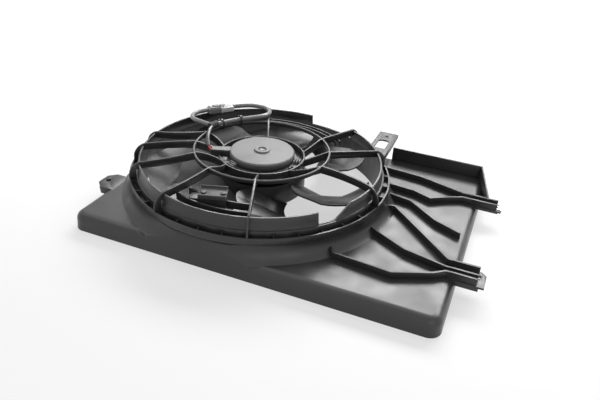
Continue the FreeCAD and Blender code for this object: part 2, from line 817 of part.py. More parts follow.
def sectionWire(distance, turn, run, rise, camber):
    """A thin cambered blade section, upright and square to the radius at the given turn."""
    drop = vector(0, 0, -s.bladeThickness.value)
    middle = s.bladeMiddle.value
    high, low = vector(0, -run / 2, middle + rise / 2), vector(0, run / 2, middle - rise / 2)
    crown = vector(0, 0, middle + camber)
    wire = Part.Wire([Part.Arc(low, crown, high).toShape(), Part.makeLine(high, high + drop),
                      Part.Arc(high + drop, crown + drop, low + drop).toShape(), Part.makeLine(low + drop, low)])
    wire.translate(vector(distance, 0, 0))
    wire.rotate(vector(), up, turn)
    return wire


def edgeCurve(points):
    """A wavy blade edge in plan, through points given as a share of the blade's length and an angle."""
    hub = s.hubRadius.value
    depth = s.fanRadius.value - hub
    places = []
    for share, angle in points:
        turn, radius = math.radians(angle), hub + share * depth
        places.append(vector(radius * math.cos(turn), radius * math.sin(turn), 0))
    curve = Part.BSplineCurve()
    curve.interpolate(places)
    return curve


def makeBlades():
    """Swept blades: a twisted, cambered sheet trimmed to a wavy outline, repeated about the hub."""
    hub, tip = s.hubRadius.value, s.fanRadius.value
    depth, height = tip - hub, s.mountHeight.value
    stations = [(-0.05, -2, 1.45, 53, 3), (0.24, -12, 1.0, 50, 4), (0.54, -8, 1.0, 46, 5), (1.05, 16, 0.98, 43, 7)]
    sections = [sectionWire(hub + share * depth, turn, (hub + share * depth) * width, rise, camber)
                for share, turn, width, rise, camber in stations]
    twisted = Part.makeLoft(sections, True, True)
    leading = [(-0.03, -24), (0.1, -31), (0.24, -35), (0.43, -30), (0.58, -27), (0.7, -25), (0.8, -21),
               (0.9, -15), (1.03, -6)]
    trailing = [(-0.03, 27), (0.1, 13), (0.27, 8), (0.45, 12), (0.66, 20), (0.83, 28), (1.03, 38)]
    front, back = edgeCurve(leading), edgeCurve(trailing)
    outline = Part.Wire([back.toShape(), Part.makeLine(back.EndPoint, front.EndPoint), front.toShape(),
                         Part.makeLine(front.StartPoint, back.StartPoint)])
    prism = Part.Face(outline).extrude(vector(0, 0, height))
    span = Part.makeCylinder(tip, height).cut(Part.makeCylinder(hub, height))
    blade = twisted.common(prism).common(span)
    count = round(s.bladeCount.value)
    blades = []
    for i in range(count):
        turnedBlade = blade.copy()
        turnedBlade.rotate(vector(), up, 360 / count * i)
        blades.append(turnedBlade)
    blades = coded("fan_blades", Part.makeCompound(blades))
    place(blades, fanX, fanY, 0, s.bladeTurn)
    return keep(blades)


def makeHub():
    """The cup at the fan's centre: the motor reaches down into it, and ribs stiffen its floor."""
    body = newBody("fan_hub", atFan=True)
    inside = s.hubRadius - s.hubWall
    floorTop = s.hubBottom + s.hubWall
    revolved(body, [
        (s.shaftRadius, s.hubBossBottom), (s.hubBossRadius, s.hubBossBottom), (s.hubBossRadius, s.hubBottom),
        (s.hubRadius - s.hubWall * 2, s.hubBottom), (s.hubRadius, s.hubBottom + s.hubWall * 2),
        (s.hubRadius, s.hubTop), (inside, s.hubTop), (inside, floorTop + s.hubWall),
        (inside - s.hubWall, floorTop), (s.shaftRadius, floorTop),
    ])
    rib = padded(body, s.hubBottom + 1 - s.hubBossBottom - 2,
                 [[(s.hubBossRadius - 1, -1), (s.hubRadius - s.hubWall * 5, -1),
                   (s.hubRadius - s.hubWall * 5, 1), (s.hubBossRadius - 1, 1)]], lift=s.hubBossBottom + 2)
    doc.recompute()
    patterned(body, rib, s.hubRibCount)
    return keep(body)


def makeFanFixing():
    washer = newBody("fan_washer", atFan=True)
    washerBottom = s.hubBossBottom - s.washerHeight
    padded(washer, s.washerHeight, [], [(0, 0, s.washerRadius), (0, 0, s.shaftRadius)], lift=washerBottom)
    keep(washer)
    across = s.nutWidth / 2
    corner = across * (2 / math.sqrt(3))
    nut = newBody("fan_nut", atFan=True)
    hexagon = [(corner, 0), (corner / 2, across), (-corner / 2, across), (-corner, 0),
               (-corner / 2, -across), (corner / 2, -across)]
    padded(nut, s.nutHeight, [hexagon], [(0, 0, s.shaftRadius)], lift=washerBottom - s.nutHeight)
    keep(nut)


# ---- motor ----

def makeMotorCase():
    body = newBody("case_can", atFan=True)
    floorTop = s.caseBottom + s.caseSheet
    seat = s.bearingRadius
    boss = seat + s.caseSheet
    bossBottom = s.caseBottom - s.caseSheet
    revolved(body, [
        (running + 1, bossBottom), (boss, bossBottom), (boss, s.caseBottom),
        (s.caseRadius - 4, s.caseBottom), (s.caseRadius, s.caseBottom + 4), (s.caseRadius, bossTop),
        (s.caseFlangeRadius, bossTop), (s.caseFlangeRadius, caseFlangeTop), (s.caseRadius, caseFlangeTop),
        (s.caseRadius, s.capBottom), (caseInside, s.capBottom), (caseInside, floorTop + 4),
        (caseInside - 4, floorTop), (seat, floorTop), (seat, floorTop - 1), (running + 1, floorTop - 1),
    ])
    ears = newBody("case_ears", atFan=True, turn=s.lugAngle)
    half = s.screwRadius * 2
    start = s.caseRadius + 1
    end = s.lugRadius + half * 0.6
    ear = padded(ears, s.caseSheet, [[(start, -half * 1.6), (end, -half * 0.8), (end, half * 0.8),
                                      (start, half * 1.6)]], lift=bossTop)
    doc.recompute()
    patterned(ears, ear, 3)
    holes = newBody("case_screw_holes", atFan=True, turn=s.lugAngle)
    hole = padded(holes, s.mountHeight, [], [(s.lugRadius, 0, s.screwRadius)], lift=s.mountFlange)
    doc.recompute()
    patterned(holes, hole, 3)
    return keep(cut("motor_case", fused("case_solid", body, ears), holes))


def makeEndCap():
    """The pressed cap on top of the motor, with a boss over the upper bearing."""
    body = newBody("motor_end_cap", atFan=True)
    under = s.capHeight - s.caseSheet
    bossTop = s.capHeight + s.capBossRise
    seatTop = s.capHeight - s.caseSheet / 2
    inside = s.capRadius - s.caseSheet
    revolved(body, [
        (s.bearingRadius, s.capBottom), (s.bearingRadius + s.caseSheet, s.capBottom),
        (s.bearingRadius + s.caseSheet, under), (inside, under), (inside, s.capBottom),
        (s.capRadius, s.capBottom), (s.capRadius, s.capHeight - 2), (s.capRadius - 2, s.capHeight),
        (s.capBoss, s.capHeight), (s.capBoss, bossTop), (s.capBoss / 2, bossTop),
        (s.capBoss / 2, s.capHeight + 0.5), (0, s.capHeight + 0.5), (0, seatTop), (s.bearingRadius, seatTop),
    ])
    return keep(body)


def makeMotorInside():
    magnetInner = caseInside - s.magnetThickness
    magnet = newBody("magnet_arcs", atFan=True, turn=20)
    revolved(magnet, [(magnetInner, s.magnetBottom), (caseInside, s.magnetBottom),
                      (caseInside, s.magnetBottom + s.magnetLength), (magnetInner, s.magnetBottom + s.magnetLength)],
             angle=140)
    other = newBody("magnet_arcs_opposite", atFan=True, turn=200)
    revolved(other, [(magnetInner, s.magnetBottom), (caseInside, s.magnetBottom),
                     (caseInside, s.magnetBottom + s.magnetLength), (magnetInner, s.magnetBottom + s.magnetLength)],
             angle=140)
    magnets = doc.addObject("Part::Compound", "field_magnets")
    magnets.Links = [magnet, other]
    keep(magnets)

    lowerSeat = s.caseBottom + s.caseSheet - 1
    upperSeat = s.capHeight - s.caseSheet / 2 - s.bearingLength
    for label, bottom in (("lower_bearing", lowerSeat), ("upper_bearing", upperSeat)):
        bearing = newBody(label, atFan=True)
        padded(bearing, s.bearingLength, [], [(0, 0, s.bearingRadius), (0, 0, running)], lift=bottom)
        keep(bearing)

    shaft = newBody("motor_shaft", atFan=True)
    shaftBottom = s.hubBossBottom - s.washerHeight - s.nutHeight - 2
    shaftTop = upperSeat + s.bearingLength - 0.5
    padded(shaft, shaftTop - shaftBottom, [], [(0, 0, s.shaftRadius)], lift=shaftBottom)
    keep(shaft)

    coreBottom = s.magnetBottom + (s.magnetLength - s.coreLength) / 2
    core = newBody("armature_core", atFan=True)
    padded(core, s.coreLength, [], [(0, 0, coreRadius), (0, 0, s.shaftRadius)], lift=coreBottom)
    slot = pocketed(core, s.coreLength + 2, [[(coreRadius * 0.55, -2), (coreRadius + 1, -1), (coreRadius + 1, 1),
                                              (coreRadius * 0.55, 2)]], lift=coreBottom + s.coreLength + 1)
    doc.recompute()
    patterned(core, slot, s.coreSlots)
    keep(core)

    coilOuter, coilInner = coreRadius * 0.9, coreRadius * 0.35
    lowCoil = newBody("coil_end_low", atFan=True)
    lowTop, coilHeight = coreBottom, (coreBottom - s.caseBottom) / 3
    revolved(lowCoil, [(coilInner, lowTop - coilHeight), (coilOuter - 3, lowTop - coilHeight),
                       (coilOuter, lowTop - coilHeight + 2), (coilOuter, lowTop), (coilInner, lowTop)])
    highCoil = newBody("coil_end_high", atFan=True)
    highBottom = coreBottom + s.coreLength
    revolved(highCoil, [(coilInner, highBottom), (coilOuter, highBottom), (coilOuter, highBottom + 3),
                        (coilOuter - 3, highBottom + 4), (coilInner, highBottom + 4)])
    coils = doc.addObject("Part::Compound", "armature_windings")
    coils.Links = [lowCoil, highCoil]
    keep(coils)

    commutator = newBody("commutator", atFan=True)
    commutatorBottom = highBottom + 4.5
    padded(commutator, s.commutatorLength, [], [(0, 0, s.commutatorRadius * 0.8), (0, 0, s.shaftRadius)],
           lift=commutatorBottom)
    keep(commutator)

    holder = newBody("holder_disc", atFan=True)
    holderBottom = s.capBottom
    brushRadius = s.commutatorRadius * 0.8 + 0.1
    padded(holder, 1.5, [], [(0, 0, s.capRadius - s.caseSheet), (0, 0, s.commutatorRadius + 2)],
           lift=holderBottom)
    keep(holder, "brush_holder")
    brushes = doc.addObject("Part::Compound", "carbon_brushes")
    links = []
    for i, side in enumerate((brushRadius, -brushRadius - s.brushLength)):
        links.append(box(f"brush{i}", fanX + side, fanY - s.brushWidth / 2, holderBottom - s.brushWidth,
                         s.brushLength, s.brushWidth, s.brushWidth))
    brushes.Links = links
    keep(brushes)


def makeScrews():
    body = newBody("motor_screws", atFan=True, turn=s.lugAngle)
    shank = padded(body, s.screwLength, [], [(s.lugRadius, 0, s.screwRadius)], lift=caseFlangeTop - s.screwLength)
    doc.recompute()
    head = padded(body, s.screwRadius, [], [(s.lugRadius, 0, s.screwRadius * 1.8)], lift=caseFlangeTop)
    doc.recompute()
    pattern = body.newObject("PartDesign::PolarPattern", "screw_pattern")
    pattern.Originals = [shank, head]
    pattern.Axis = (originFeature(body, "Z_Axis"), [""])
    pattern.Angle = 360
    pattern.Occurrences = 3
    body.Tip = pattern
    return keep(body)


def makeNose(mountRing):
    """The terminal housing that leaves the motor's cap and takes the two leads."""
    body = newBody("nose_block", atFan=True, turn=s.noseAngle)
    half = s.noseWidth / 2
    start, end = s.capRadius - 6, s.capRadius + s.noseLength
    padded(body, s.noseHeight, [[(start, -half), (end, -half * 0.8), (end, half * 0.8), (start, half)]],
           lift=s.capHeight - s.noseHeight - 1)
    seats = fused("nose_seats", cylinder("nose_cap_space", fanX, fanY, 0, s.capRadius, s.wireHeight), mountRing)
    return keep(cut("motor_terminal_housing", body, seats))


# ---- fan control module ----

def makeModule(arms, ring):
    turn = s.moduleAngle
    top = s.moduleFloor + s.moduleDepth
    x0, x1 = s.moduleRadius - s.moduleWidth / 2, s.moduleRadius + s.moduleWidth / 2
    y0, y1 = -s.moduleShift - s.moduleLength / 2, s.moduleLength / 2 - s.moduleShift
    housing = newBody("module_housing_block", atFan=True, turn=turn)
    padded(housing, s.moduleDepth, [[(x0, y0), (x1, y0), (x1, y1), (x0, y1)]], lift=s.moduleFloor)
    keep(housing, "module_housing")
    plate = newBody("module_heat_plate", atFan=True, turn=turn)
    step = s.plateThickness / 2
    middle = s.moduleRadius
    padded(plate, s.plateThickness, [[(x0 - step, y0 + step), (x1 + step, y0 + step), (x1 + step, y1),
                                      (x0 - step, y1)]],
           [(middle, y0 + 7, s.screwRadius), (middle, y1 - 5, s.screwRadius)], lift=top)
    for left in (x0 - step, x1):
        padded(plate, s.plateThickness + s.plateFlange,
               [[(left, y0 + step), (left + step, y0 + step), (left + step, y1), (left, y1)]], lift=top)
    keep(plate)
    screws = newBody("module_screws", atFan=True, turn=turn)
    screwTop = top + s.plateThickness
    for y in (y0 + 7, y1 - 5):
        padded(screws, s.plateThickness, [], [(middle, y, s.screwRadius)], lift=top)
        padded(screws, s.screwRadius * 0.8, [], [(middle, y, s.screwRadius * 1.7)], lift=screwTop)
    keep(screws)
    plug = newBody("module_plug", atFan=True, turn=turn)
    padded(plug, s.moduleDepth * 0.8, [[(x0 + 6, y0 - 12), (x1 - 4, y0 - 12), (x1 - 4, y0), (x0 + 6, y0)]],
           lift=s.moduleFloor)
    keep(plug)

    # two curved rails between the neighbouring arms, and a floor that the module stands on
    rails = []
    railTop = s.moduleFloor + s.moduleDepth * 0.7
    for i, radius in enumerate((s.cradleInner, s.cradleOuter)):
        rail = newBody(f"cradle_rail{i}", atFan=True, turn=-111)
        revolved(rail, [(radius - s.armWidth / 2, s.moduleFloor - s.tabThickness),
                        (radius + s.armWidth / 2, s.moduleFloor - s.tabThickness),
                        (radius + s.armWidth / 2, railTop), (radius - s.armWidth / 2, railTop)], angle=41)
        rails.append(rail)
    floor = newBody("cradle_floor", atFan=True, turn=turn)
    padded(floor, s.tabThickness, [[(x0, y0 + 4), (x1 + 15, y0 + 4), (x1 + 15, y1), (x0, y1)]],
           lift=s.moduleFloor - s.tabThickness)
    solid = fused("cradle_solid", floor, *rails)
    taken = fused("cradle_seats", arms, ring, housing, plate, plug)
    taken.Refine = False
    keep(cut("module_cradle", solid, taken))


def makeSpareCradle(arms):
    """Two curved ribs on the far side, between two arms, where another version carries a second module."""
    bottom, top = s.armRingHeight - s.armDepth, s.armRingHeight - s.tabThickness
    ribs = []
    for radius in (s.spareInner, s.spareOuter):
        rib = newBody("spare_rib", atFan=True, turn=49)
        revolved(rib, [(radius - 1, bottom), (radius + 1, bottom), (radius + 1, top), (radius - 1, top)], angle=62)
        ribs.append(rib)
    pair = doc.addObject("Part::Compound", "spare_rib_pair")
    pair.Links = ribs
    piece = cut("spare_cradle_raw", pair, arms)
    doc.recompute()
    between = [solid for solid in piece.Shape.Solids if solid.Volume > 500]
    return keep(coded("far_cradle_ribs", Part.makeCompound(between)))


# ---- wiring ----

def routeTube(points, radius):
    """A round tube along straight runs joined by tangent arcs, each as large as its two runs allow."""
    edges, radii, last = [], [], points[0]
    for before, corner, after in zip(points, points[1:], points[2:]):
        back, ahead = before - corner, after - corner
        shorter = min(back.Length, ahead.Length)
        turn = math.pi - back.getAngle(ahead)
        trim = 0.45 * shorter
        bend = trim / math.tan(turn / 2)
        entry = corner + back.normalize() * trim
        leave = corner + ahead.normalize() * trim
        inward = (back + ahead).normalize()
        middle = corner + inward * (bend / math.cos(turn / 2) - bend)
        edges.append(Part.makeLine(last, entry))
        edges.append(Part.Arc(entry, middle, leave).toShape())
        radii.append(bend)
        last = leave
    edges.append(Part.makeLine(last, points[-1]))
    path = Part.Wire(edges)
    profile = Part.Wire(Part.makeCircle(radius, points[0], points[1] - points[0]))
    tube = path.makePipeShell([profile], True, True)
    print("tube radius", radius, "length", round(path.Length, 1), "bends", [round(r, 1) for r in radii],
          "volume ratio", round(tube.Volume / (math.pi * radius * radius * path.Length), 4))
    return tube


def makeConnectors(ring):
    """The main plug and its socket, side by side on a holder at the far side of the tunnel's lip."""
    base = s.lipHeight + s.clipSheet
    plug = newBody("main_plug_block", atFan=True, turn=s.plugAngle)
    half = s.plugWidth / 2
    x0, x1 = s.plugRadius - half, s.plugRadius + half
    padded(plug, s.plugDepth, [[(x0, 0), (x1, 0), (x1, s.plugLength), (x0, s.plugLength)]], lift=base)
    keep(plug, "main_plug")
    socket = newBody("main_socket_block", atFan=True, turn=s.plugAngle)
    step = 1.5
    padded(socket, s.plugDepth - step, [[(x0 - step, -s.socketLength), (x1 + step, -s.socketLength),
                                         (x1 + step, 0), (x0 - step, 0)]], lift=base)
    keep(socket, "main_socket")
    latch = newBody("plug_latch", atFan=True, turn=s.plugAngle)
    padded(latch, 1.6, [[(s.plugRadius - 3, -9), (s.plugRadius + 3, -9), (s.plugRadius + 3, 12),
                         (s.plugRadius - 3, 12)]], lift=base + s.plugDepth)
    keep(latch)
    holder = newBody("holder_plate", atFan=True, turn=s.plugAngle)
    padded(holder, s.clipSheet, [[(x0 - step, -s.socketLength * 0.8), (x1 + step * 6, -s.socketLength * 0.8),
                                  (x1 + step * 6, s.plugLength * 0.8), (x0 - step, s.plugLength * 0.8)]],
           lift=s.lipHeight)
    legs = newBody("holder_legs", atFan=True, turn=s.plugAngle)
    padded(legs, s.lipHeight + 1 - s.shelfHeight,
           [[(s.shelfRadius - 6, -6), (s.shelfRadius + 3, -6), (s.shelfRadius + 3, 6), (s.shelfRadius - 6, 6)]],
           lift=s.shelfHeight)
    tunnelSpace = cylinder("holder_inner_clearance", fanX, fanY, s.tunnelBottom, s.lipRadius,
                           s.lipHeight - s.tunnelBottom)
    solid = fused("holder_fused", holder, cut("holder_legs_outside", legs, tunnelSpace))
    keep(cut("connector_holder", solid, ring))
    return plug, socket


def makeWiring(plug, socket, nose):
    top = s.wireHeight + s.loomRadius + 0.05
    wrapHeight = number(s.wireHeight + s.wrapRadius)
    wrapHalf = number(s.wrapLength) / 2
    wrapCentre = polar(s.wireRadius, s.wrapAngle, wrapHeight)
    tangent = polar(1, s.wrapAngle + 90) - polar(0, 0)
    tangent.z = 0
    wrap = coded("loom_wrap", Part.makeCylinder(number(s.wrapRadius), 2 * wrapHalf,
                                                wrapCentre - tangent * wrapHalf, tangent))
    keep(wrap)

    rise = number(top)
    plugMiddle = number(s.lipHeight + s.clipSheet + s.plugDepth / 2)
    socketEnd = turned(Part.Vertex(0, 0, 0), s.plugAngle, s.plugRadius).Point
    square = polar(1, s.plugAngle + 90) - polar(0, 0)
    square.z = 0
    socketStart = socketEnd - square * number(s.socketLength) + vector(0, 0, plugMiddle)
    plugEnd = socketEnd + square * number(s.plugLength) + vector(0, 0, plugMiddle)

    lip = number(s.lipRadius)
    loomRoute = [socketStart + square * 3, socketStart - square * 15, polar(lip - 5.5, 119.5, plugMiddle + 1),
                 polar(lip - 22.6, 112.4, plugMiddle + 3), polar(lip - 50.8, 109.2, plugMiddle + 5.5),
                 polar(lip - 77.4, 114.7, rise + 0.6), polar(s.wireRadius + 1.5, 129.7, rise + 0.4),
                 polar(s.wireRadius + 0.3, 142, rise + 0.3), wrapCentre - tangent * wrapHalf * 0.4]
    loom = coded("loom_tube", routeTube(loomRoute, number(s.loomRadius)))
    ends = fused("loom_ends", wrap, socket)
    ends.Refine = False
    keep(cut("main_loom", loom, ends))

    leadRoute = [plugEnd - square * 3, plugEnd + square * 16, polar(lip - 9, 157.5, plugMiddle + 1),
                 polar(lip - 28, 163, plugMiddle + 3), polar(lip - 56, 166, rise),
                 polar(s.wireRadius + 4, 167, rise + 2)]
    supply = coded("supply_tube", routeTube(leadRoute, number(s.loomRadius)))
    supplyEnds = fused("supply_ends", wrap, plug)
    supplyEnds.Refine = False
    keep(cut("supply_lead", supply, supplyEnds))

    noseTip = polar(s.capRadius + s.noseLength, s.noseAngle, s.capHeight - s.noseHeight / 2 - 1)
    outward = polar(1, s.noseAngle) - polar(0, 0)
    outward.z = 0
    sideways = vector(-outward.y, outward.x, 0)
    leads = []
    inward = (polar(0, 0, wrapHeight) - wrapCentre).normalize()
    for side in (-2.2, 2.2):
        overArms = number(s.wireHeight) + 2
        route = [noseTip - outward * 4 + sideways * side,
                 polar(s.wireRadius - 7 + side, s.noseAngle, overArms) + sideways * side,
                 polar(s.wireRadius - 3 + side, s.noseAngle - 17, overArms + 1.5),
                 wrapCentre + tangent * wrapHalf * 0.4 - inward * side]
        leads.append(routeTube(route, number(s.leadRadius)))
    leadTubes = coded("lead_tubes", Part.makeCompound(leads))
    leadEnds = fused("lead_ends", wrap, nose)
    leadEnds.Refine = False
    keep(cut("motor_leads", leadTubes, leadEnds))

    ties = []
    inside = s.loomRadius + 1.7
    low = s.wireHeight - s.wireDepth - 0.2
    high = top + s.loomRadius + 2.8
    for i, angle in enumerate((154, 139)):
        tie = newBody(f"tie{i}", atFan=True, turn=angle)
        r0, r1 = s.wireRadius - inside, s.wireRadius + inside
        t = s.tieThickness
        outer = [(r0 - t, low - t), (r1 + t, low - t), (r1 + t, high + t), (r0 - t, high + t)]
        window = [(r0, low), (r1, low), (r1, high), (r0, high)]
        padded(tie, s.tieWidth, [outer, window], role="XZ_Plane", symmetric=True)
        padded(tie, s.tieWidth + 2, [[(r1 + t - 0.2, high - 5), (r1 + t + 4, high - 5), (r1 + t + 4, high),
                                      (r1 + t - 0.2, high)]], role="XZ_Plane", symmetric=True)
        ties.append(tie)
    group = doc.addObject("Part::Compound", "cable_ties")
    group.Links = ties
    keep(group)


outside = makeTray()
rearWall = makeRearWall(outside)
makeBracket(outside)
makeLeftTab(outside)
frontTab = makeRightTab("front_right_tab", trayFront + s.frontTabPlace, s.frontTabWidth, (-14.5, -4, 14.5), 0,
                        5, s.frontTabSkirt, outside)
rearTab = makeRightTab("rear_right_tab", trayFront + s.rearTabPlace, s.rearTabWidth, (-7.5, 7.5),
                       s.clipSheet, 0, s.rearTabSkirt, fused("rear_tab_neighbours", outside, rearWall))
ribsCut = cut("plate_ribs_cut", plateRibs(), fused("rib_neighbours", outside, rearWall, frontTab, rearTab))
doc.recompute()
keep(coded("plate_ribs", Part.makeCompound([solid for solid in ribsCut.Shape.Solids if solid.Volume > 50])))
makeClip()
ring = makeRing()
wireRing = makeWireRing()
mountRing = makeMountRing()
arms = makeArms(ring, wireRing, mountRing)
makeBlades()
makeHub()
makeFanFixing()
makeMotorCase()
makeEndCap()
makeMotorInside()
makeScrews()
nose = makeNose(mountRing)
makeModule(arms, ring)
makeSpareCradle(arms)
plugBody, socketBody = makeConnectors(ring)
makeWiring(plugBody, socketBody, nose)
doc.recompute()

# ---- checks and files ----

failed = [thing.Name for thing in doc.Objects if "Invalid" in thing.State or "Error" in thing.State]
for label, thing in nodes.items():
    shape = thing.Shape
    if shape.isNull() or not shape.Solids or not shape.isValid():
        failed.append(label)
if failed:
    raise RuntimeError("these pieces failed: " + ", ".join(failed))
for label, thing in nodes.items():
    thing.Shape.exportStep(f"parts/{label}.step")
print(len(nodes), "nodes")
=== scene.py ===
import bpy, bmesh, json, math
from mathutils import Matrix, Vector


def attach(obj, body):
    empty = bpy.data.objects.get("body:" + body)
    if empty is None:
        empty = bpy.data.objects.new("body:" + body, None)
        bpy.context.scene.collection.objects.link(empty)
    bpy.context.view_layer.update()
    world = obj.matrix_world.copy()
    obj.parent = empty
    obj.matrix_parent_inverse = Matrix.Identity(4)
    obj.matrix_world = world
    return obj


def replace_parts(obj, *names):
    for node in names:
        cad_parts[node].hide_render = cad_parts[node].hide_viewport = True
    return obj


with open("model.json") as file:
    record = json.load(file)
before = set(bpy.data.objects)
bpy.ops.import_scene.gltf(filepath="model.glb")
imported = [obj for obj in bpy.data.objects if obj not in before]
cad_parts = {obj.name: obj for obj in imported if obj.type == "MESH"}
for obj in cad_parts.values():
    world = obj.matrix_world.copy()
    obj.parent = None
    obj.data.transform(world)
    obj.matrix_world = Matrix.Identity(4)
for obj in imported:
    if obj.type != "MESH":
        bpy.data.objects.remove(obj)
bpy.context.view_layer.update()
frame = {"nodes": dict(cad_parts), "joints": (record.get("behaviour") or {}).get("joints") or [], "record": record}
nodes = frame["nodes"]
print("frame loaded:", len(nodes), "nodes")

# the fan turns about this upright line
fanAxis = Vector(frame["joints"][0]["pos_m"]).to_2d().to_3d()

# the camera's place in metres, its angles in radians, its lens in millimetres
view = {"place": (0.2944, -0.8224, 0.5168), "turn": -0.35514, "tilt": 0.53242, "roll": 0.06621, "lens": 35.86}


def aimCamera():
    turn, tilt = view["turn"], view["tilt"]
    ahead = Vector((math.sin(turn) * math.cos(tilt), math.cos(turn) * math.cos(tilt), -math.sin(tilt)))
    right = Vector((math.cos(turn), -math.sin(turn), 0))
    over = right.cross(ahead)
    side = right * math.cos(view["roll"]) + over * math.sin(view["roll"])
    top = over * math.cos(view["roll"]) - right * math.sin(view["roll"])
    camera = bpy.data.objects.new("camera", bpy.data.cameras.new("camera"))
    camera.data.lens = view["lens"]
    camera.data.clip_end = 20
    bpy.context.collection.objects.link(camera)
    place = Matrix((side, top, -ahead)).transposed().to_4x4()
    place.translation = view["place"]
    camera.matrix_world = place
    bpy.context.scene.camera = camera


aimCamera()
print("camera aimed")


def startMaterial(name, roughness, metallic=0.0):
    material = bpy.data.materials.new(name)
    material.use_nodes = True
    tree = material.node_tree
    shader = tree.nodes["Principled BSDF"]
    shader.inputs["Roughness"].default_value = roughness
    shader.inputs["Metallic"].default_value = metallic
    return material, tree, shader


def addNoise(tree, scale, detail=3.0, stretch=None):
    where = tree.nodes.new("ShaderNodeTexCoord")
    noise = tree.nodes.new("ShaderNodeTexNoise")
    noise.inputs["Scale"].default_value = scale
    noise.inputs["Detail"].default_value = detail
    source = where.outputs["Object"]
    if stretch:
        mapping = tree.nodes.new("ShaderNodeMapping")
        mapping.inputs["Scale"].default_value = stretch
        tree.links.new(source, mapping.inputs["Vector"])
        source = mapping.outputs["Vector"]
    tree.links.new(source, noise.inputs["Vector"])
    return noise


def spread(tree, noise, low, high):
    ramp = tree.nodes.new("ShaderNodeMapRange")
    ramp.inputs["From Min"].default_value = 0.3
    ramp.inputs["From Max"].default_value = 0.7
    ramp.inputs["To Min"].default_value = low
    ramp.inputs["To Max"].default_value = high
    tree.links.new(noise.outputs["Fac"], ramp.inputs["Value"])
    return ramp.outputs["Result"]


def colourBetween(tree, noise, first, second):
    mix = tree.nodes.new("ShaderNodeMix")
    mix.data_type = "RGBA"
    mix.inputs["A"].default_value = (*first, 1)
    mix.inputs["B"].default_value = (*second, 1)
    tree.links.new(noise.outputs["Fac"], mix.inputs["Factor"])
    return mix.outputs["Result"]


def addBump(tree, shader, height, strength, distance):
    bump = tree.nodes.new("ShaderNodeBump")
    bump.inputs["Strength"].default_value = strength
    bump.inputs["Distance"].default_value = distance
    tree.links.new(height, bump.inputs["Height"])
    tree.links.new(bump.outputs["Normal"], shader.inputs["Normal"])


def mouldedPlastic(name, dark, light, rough, grain=1400, depth=0.00006, strength=0.35):
    material, tree, shader = startMaterial(name, rough[0])
    cloud = addNoise(tree, 9)
    tree.links.new(colourBetween(tree, cloud, dark, light), shader.inputs["Base Color"])
    smear = addNoise(tree, 26, 5)
    tree.links.new(spread(tree, smear, *rough), shader.inputs["Roughness"])
    fine = addNoise(tree, grain, 2)
    addBump(tree, shader, fine.outputs["Fac"], strength, depth)
    return material


def platedMetal(name, dark, light, rough, stretch=None, grain=700, metallic=1.0):
    material, tree, shader = startMaterial(name, rough[0], metallic)
    cloud = addNoise(tree, 40, 4)
    tree.links.new(colourBetween(tree, cloud, dark, light), shader.inputs["Base Color"])
    brush = addNoise(tree, grain, 3, stretch)
    tree.links.new(spread(tree, brush, *rough), shader.inputs["Roughness"])
    addBump(tree, shader, brush.outputs["Fac"], 0.15, 0.00004)
    return material


finish = {
    "shroud": mouldedPlastic("shroudPlastic", (0.017, 0.017, 0.018), (0.03, 0.03, 0.032), (0.28, 0.46)),
    "fan": mouldedPlastic("fanPlastic", (0.018, 0.018, 0.019), (0.028, 0.028, 0.03), (0.3, 0.42),
                          strength=0.12),
    "connectorDark": mouldedPlastic("connectorDark", (0.02, 0.02, 0.021), (0.032, 0.032, 0.034), (0.35, 0.5)),
    "plugGrey": mouldedPlastic("plugGrey", (0.17, 0.17, 0.172), (0.24, 0.24, 0.243), (0.35, 0.5)),
    "connectorGrey": mouldedPlastic("connectorGrey", (0.55, 0.55, 0.56), (0.64, 0.64, 0.65), (0.4, 0.55)),
    "darkScrew": platedMetal("darkScrew", (0.05, 0.05, 0.05), (0.08, 0.08, 0.08), (0.45, 0.6), metallic=0.3),
    "darkSteel": platedMetal("coatedSteel", (0.04, 0.04, 0.042), (0.065, 0.065, 0.068), (0.4, 0.55),
                             metallic=0.3),
    "cap": platedMetal("capSteel", (0.125, 0.125, 0.127), (0.16, 0.16, 0.163), (0.5, 0.62), metallic=0.2),
    "zinc": platedMetal("zincSteel", (0.5, 0.5, 0.48), (0.62, 0.62, 0.6), (0.25, 0.4)),
    "caseSteel": platedMetal("caseSteel", (0.1, 0.1, 0.105), (0.16, 0.16, 0.165), (0.35, 0.5)),
    "aluminium": platedMetal("castAluminium", (0.06, 0.06, 0.062), (0.09, 0.09, 0.093), (0.5, 0.65),
                             grain=300, metallic=0.3),
    "copper": platedMetal("copperWire", (0.55, 0.22, 0.1), (0.7, 0.32, 0.16), (0.25, 0.4)),
    "bronze": platedMetal("sinteredBronze", (0.45, 0.3, 0.15), (0.55, 0.4, 0.2), (0.4, 0.55)),
    "core": platedMetal("coreSteel", (0.2, 0.2, 0.2), (0.3, 0.3, 0.3), (0.4, 0.6)),
    "ferrite": mouldedPlastic("ferrite", (0.05, 0.05, 0.055), (0.08, 0.08, 0.085), (0.5, 0.7)),
    "board": mouldedPlastic("insulatingBoard", (0.16, 0.07, 0.03), (0.22, 0.1, 0.045), (0.4, 0.6)),
    "sleeve": mouldedPlastic("loomSleeve", (0.13, 0.13, 0.133), (0.19, 0.19, 0.194), (0.25, 0.38)),
    "redLead": mouldedPlastic("redLead", (0.28, 0.012, 0.01), (0.36, 0.02, 0.016), (0.3, 0.45)),
    "tape": mouldedPlastic("clothTape", (0.02, 0.02, 0.021), (0.034, 0.034, 0.035), (0.6, 0.8), 900, 0.0002),
    "leadSleeve": mouldedPlastic("leadSleeve", (0.05, 0.05, 0.052), (0.075, 0.075, 0.078), (0.2, 0.32)),
    "tie": mouldedPlastic("tieNylon", (0.02, 0.02, 0.02), (0.03, 0.03, 0.03), (0.3, 0.4)),
}

